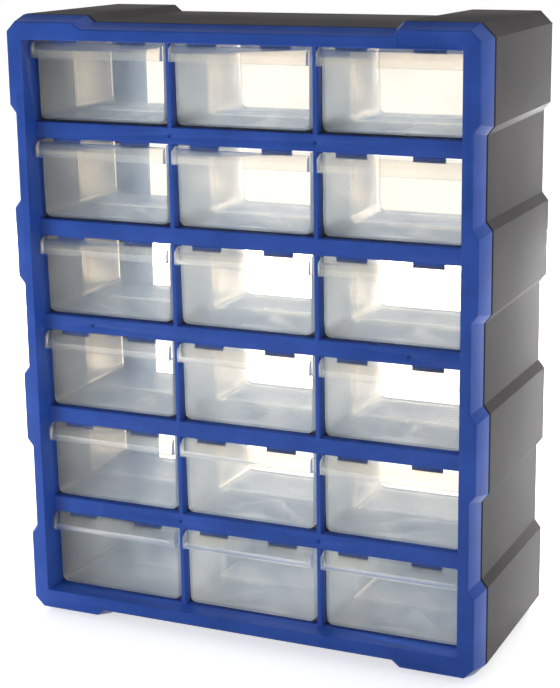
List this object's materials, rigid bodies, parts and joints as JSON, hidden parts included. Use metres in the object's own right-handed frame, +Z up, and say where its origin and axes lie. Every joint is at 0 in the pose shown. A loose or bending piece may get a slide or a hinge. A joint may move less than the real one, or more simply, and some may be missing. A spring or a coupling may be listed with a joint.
{
  "type": "parts bin cabinet",
  "caption": "Small-parts cabinet: clear slide-out bins with hooded handle lips in a blue front frame on a grey, open-backed moulded housing.",
  "frame": {"origin": "on the surface that the cabinet stands on, in the middle of its width and depth", "axes": "+Z up, +X to the right seen from the front, +Y from the front to the rear"},
  "size_m": [0.38, 0.16, 0.475],
  "materials": {
    "frame_plastic": "glossy blue polystyrene moulding",
    "housing_plastic": "fine grained warm grey moulding",
    "grid_plastic": "fine grained grey moulding",
    "drawer_plastic": "milky clear polypropylene"
  },
  "bodies": {
    "cabinet": {"front_frame": "frame_plastic", "rear_housing": "housing_plastic", "guide_grid": "grid_plastic"},
    "bin_row1_column1": {"drawer_row1_column1": "drawer_plastic"},
    "bin_row1_column2": {"drawer_row1_column2": "drawer_plastic"},
    "bin_row1_column3": {"drawer_row1_column3": "drawer_plastic"},
    "bin_row2_column1": {"drawer_row2_column1": "drawer_plastic"},
    "bin_row2_column2": {"drawer_row2_column2": "drawer_plastic"},
    "bin_row2_column3": {"drawer_row2_column3": "drawer_plastic"},
    "bin_row3_column1": {"drawer_row3_column1": "drawer_plastic"},
    "bin_row3_column2": {"drawer_row3_column2": "drawer_plastic"},
    "bin_row3_column3": {"drawer_row3_column3": "drawer_plastic"},
    "bin_row4_column1": {"drawer_row4_column1": "drawer_plastic"},
    "bin_row4_column2": {"drawer_row4_column2": "drawer_plastic"},
    "bin_row4_column3": {"drawer_row4_column3": "drawer_plastic"},
    "bin_row5_column1": {"drawer_row5_column1": "drawer_plastic"},
    "bin_row5_column2": {"drawer_row5_column2": "drawer_plastic"},
    "bin_row5_column3": {"drawer_row5_column3": "drawer_plastic"},
    "bin_row6_column1": {"drawer_row6_column1": "drawer_plastic"},
    "bin_row6_column2": {"drawer_row6_column2": "drawer_plastic"},
    "bin_row6_column3": {"drawer_row6_column3": "drawer_plastic"}
  },
  "joints": [
    {"name": "pull_row1_column1", "type": "slide", "parent": "cabinet", "child": "bin_row1_column1", "axis": [0, -1, 0], "range_m": [0, 0.12]},
    {"name": "pull_row1_column2", "type": "slide", "parent": "cabinet", "child": "bin_row1_column2", "axis": [0, -1, 0], "range_m": [0, 0.12]},
    {"name": "pull_row1_column3", "type": "slide", "parent": "cabinet", "child": "bin_row1_column3", "axis": [0, -1, 0], "range_m": [0, 0.12]},
    {"name": "pull_row2_column1", "type": "slide", "parent": "cabinet", "child": "bin_row2_column1", "axis": [0, -1, 0], "range_m": [0, 0.12]},
    {"name": "pull_row2_column2", "type": "slide", "parent": "cabinet", "child": "bin_row2_column2", "axis": [0, -1, 0], "range_m": [0, 0.12]},
    {"name": "pull_row2_column3", "type": "slide", "parent": "cabinet", "child": "bin_row2_column3", "axis": [0, -1, 0], "range_m": [0, 0.12]},
    {"name": "pull_row3_column1", "type": "slide", "parent": "cabinet", "child": "bin_row3_column1", "axis": [0, -1, 0], "range_m": [0, 0.12]},
    {"name": "pull_row3_column2", "type": "slide", "parent": "cabinet", "child": "bin_row3_column2", "axis": [0, -1, 0], "range_m": [0, 0.12]},
    {"name": "pull_row3_column3", "type": "slide", "parent": "cabinet", "child": "bin_row3_column3", "axis": [0, -1, 0], "range_m": [0, 0.12]},
    {"name": "pull_row4_column1", "type": "slide", "parent": "cabinet", "child": "bin_row4_column1", "axis": [0, -1, 0], "range_m": [0, 0.12]},
    {"name": "pull_row4_column2", "type": "slide", "parent": "cabinet", "child": "bin_row4_column2", "axis": [0, -1, 0], "range_m": [0, 0.12]},
    {"name": "pull_row4_column3", "type": "slide", "parent": "cabinet", "child": "bin_row4_column3", "axis": [0, -1, 0], "range_m": [0, 0.12]},
    {"name": "pull_row5_column1", "type": "slide", "parent": "cabinet", "child": "bin_row5_column1", "axis": [0, -1, 0], "range_m": [0, 0.12]},
    {"name": "pull_row5_column2", "type": "slide", "parent": "cabinet", "child": "bin_row5_column2", "axis": [0, -1, 0], "range_m": [0, 0.12]},
    {"name": "pull_row5_column3", "type": "slide", "parent": "cabinet", "child": "bin_row5_column3", "axis": [0, -1, 0], "range_m": [0, 0.12]},
    {"name": "pull_row6_column1", "type": "slide", "parent": "cabinet", "child": "bin_row6_column1", "axis": [0, -1, 0], "range_m": [0, 0.12]},
    {"name": "pull_row6_column2", "type": "slide", "parent": "cabinet", "child": "bin_row6_column2", "axis": [0, -1, 0], "range_m": [0, 0.12]},
    {"name": "pull_row6_column3", "type": "slide", "parent": "cabinet", "child": "bin_row6_column3", "axis": [0, -1, 0], "range_m": [0, 0.12]}
  ]
}
